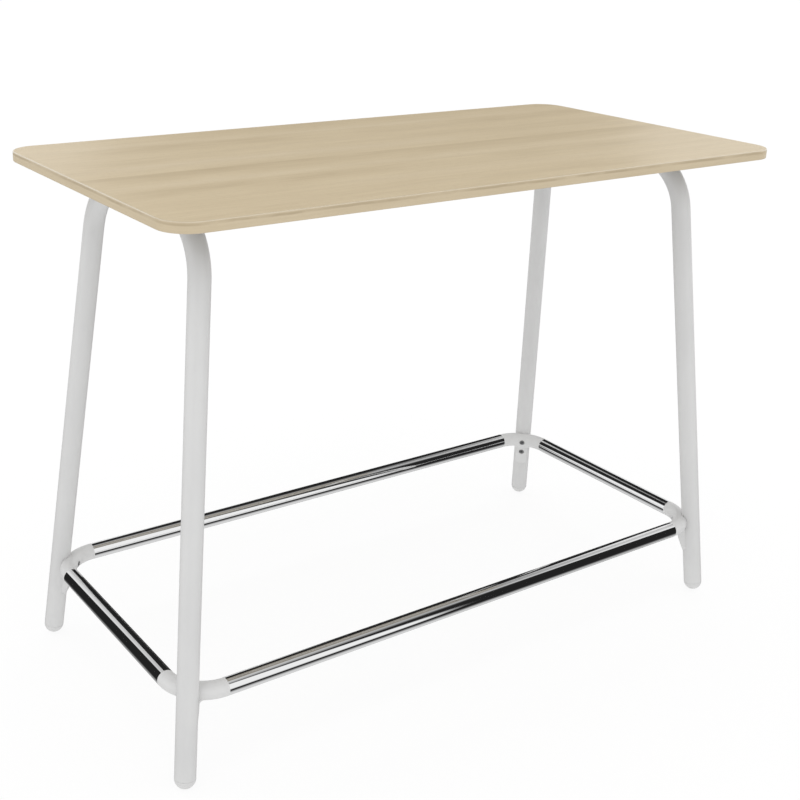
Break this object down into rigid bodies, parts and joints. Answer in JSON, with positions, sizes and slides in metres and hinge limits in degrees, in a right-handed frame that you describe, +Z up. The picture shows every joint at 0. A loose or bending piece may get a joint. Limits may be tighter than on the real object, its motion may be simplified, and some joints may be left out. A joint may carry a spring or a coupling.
{
  "type": "standing meeting table",
  "caption": "Tall free-standing table: rounded rectangular laminate board on two bent tube end frames with splayed legs, tied by a chrome foot-rest ring.",
  "frame": {"origin": "on the floor, under the middle of the board", "axes": "+X along the board's long side, +Y across it towards the back, +Z up"},
  "size_m": [1.4, 0.7, 1.05],
  "materials": {
    "board_core": "raw particleboard",
    "oak_laminate": "matt light oak wood-grain laminate",
    "backing_laminate": "plain matt balancing laminate",
    "oak_edge": "matt light oak edge band",
    "frame_paint": "light grey powder coat, satin",
    "rail_paint": "light grey powder coat, satin",
    "chrome": "bright chrome plate",
    "fitting_paint": "light grey powder coat on a casting, satin",
    "glide_paint": "light grey powder coat, satin",
    "plug_plastic": "black moulded plastic",
    "dark_screw": "dark zinc plated",
    "zinc": "zinc plated"
  },
  "bodies": {
    "table": {"top_core": "board_core", "top_laminate": "oak_laminate", "backing_laminate": "backing_laminate", "edge_band": "oak_edge", "left_end_frame": "frame_paint", "right_end_frame": "frame_paint", "left_mounting_tabs": "frame_paint", "right_mounting_tabs": "frame_paint", "front_rail": "rail_paint", "back_rail": "rail_paint", "left_rail_tongues": "rail_paint", "right_rail_tongues": "rail_paint", "front_foot_bar": "chrome", "back_foot_bar": "chrome", "left_foot_bar": "chrome", "right_foot_bar": "chrome", "corner_fitting_front_left": "fitting_paint", "leg_plug_front_left": "plug_plastic", "corner_fitting_front_right": "fitting_paint", "leg_plug_front_right": "plug_plastic", "corner_fitting_back_left": "fitting_paint", "leg_plug_back_left": "plug_plastic", "corner_fitting_back_right": "fitting_paint", "leg_plug_back_right": "plug_plastic", "fitting_screws_upper": "dark_screw", "fitting_screws_lower": "dark_screw", "tab_screws": "zinc", "board_inserts": "zinc", "board_screws": "zinc", "rail_screws": "zinc", "rail_nuts": "zinc", "leg_rivet_nuts": "zinc", "plug_inserts": "zinc"},
    "glide_front_left": {"glide_dome_front_left": "glide_paint", "glide_stem_front_left": "zinc"},
    "glide_front_right": {"glide_dome_front_right": "glide_paint", "glide_stem_front_right": "zinc"},
    "glide_back_left": {"glide_dome_back_left": "glide_paint", "glide_stem_back_left": "zinc"},
    "glide_back_right": {"glide_dome_back_right": "glide_paint", "glide_stem_back_right": "zinc"}
  },
  "joints": [
    {"name": "glide_slide_front_left", "type": "slide", "parent": "table", "child": "glide_front_left", "axis": [-0.1018, -0.1033, -0.9894], "range_m": [0, 0.01]},
    {"name": "glide_slide_front_right", "type": "slide", "parent": "table", "child": "glide_front_right", "axis": [0.1018, -0.1033, -0.9894], "range_m": [0, 0.01]},
    {"name": "glide_slide_back_left", "type": "slide", "parent": "table", "child": "glide_back_left", "axis": [-0.1018, 0.1033, -0.9894], "range_m": [0, 0.01]},
    {"name": "glide_slide_back_right", "type": "slide", "parent": "table", "child": "glide_back_right", "axis": [0.1018, 0.1033, -0.9894], "range_m": [0, 0.01]}
  ]
}
